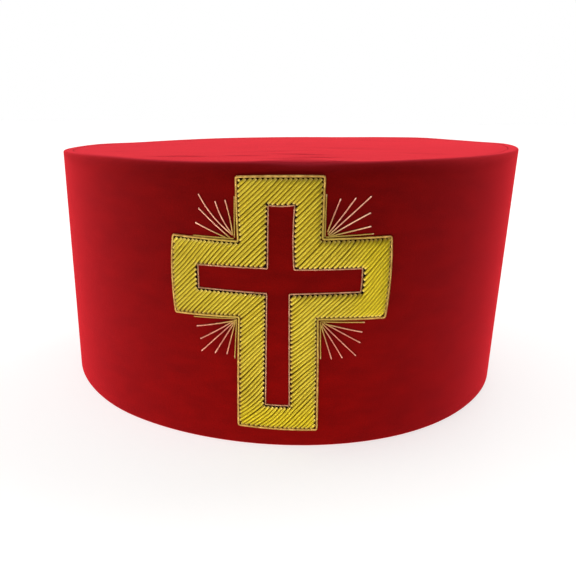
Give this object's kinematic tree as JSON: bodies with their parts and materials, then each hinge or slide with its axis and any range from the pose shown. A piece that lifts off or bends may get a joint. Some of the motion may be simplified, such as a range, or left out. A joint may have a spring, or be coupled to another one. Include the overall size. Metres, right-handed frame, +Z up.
{
  "type": "masonic cap",
  "caption": "Round brimless lodge cap: a stiff oval velvet drum with a flat top, open below, and a padded gold bullion cross with rays on its front.",
  "frame": {"origin": "centre of the oval, on the surface that the lower edge stands on", "axes": "+Z up through the flat top; the cross faces -Y, so +Y runs from brow to nape; +X is the picture's right and the wearer's left"},
  "size_m": [0.186, 0.2094, 0.0922],
  "materials": {
    "side_velvet": "short-pile red velvet over card",
    "top_velvet": "short-pile red velvet over card",
    "bullion": "bright gilt purl wire, laid slantwise over padding",
    "outer_cord": "twisted gilt thread cord",
    "inner_cord": "fine twisted gilt thread cord",
    "ray_cord": "fine gilt passing thread"
  },
  "bodies": {
    "root": {"crown_side": "side_velvet", "crown_top": "top_velvet", "cross_bullion": "bullion", "outer_edging": "outer_cord", "inner_edging": "inner_cord", "rays_upper_left": "ray_cord", "rays_upper_right": "ray_cord", "rays_lower_left": "ray_cord", "rays_lower_right": "ray_cord"}
  },
  "joints": []
}
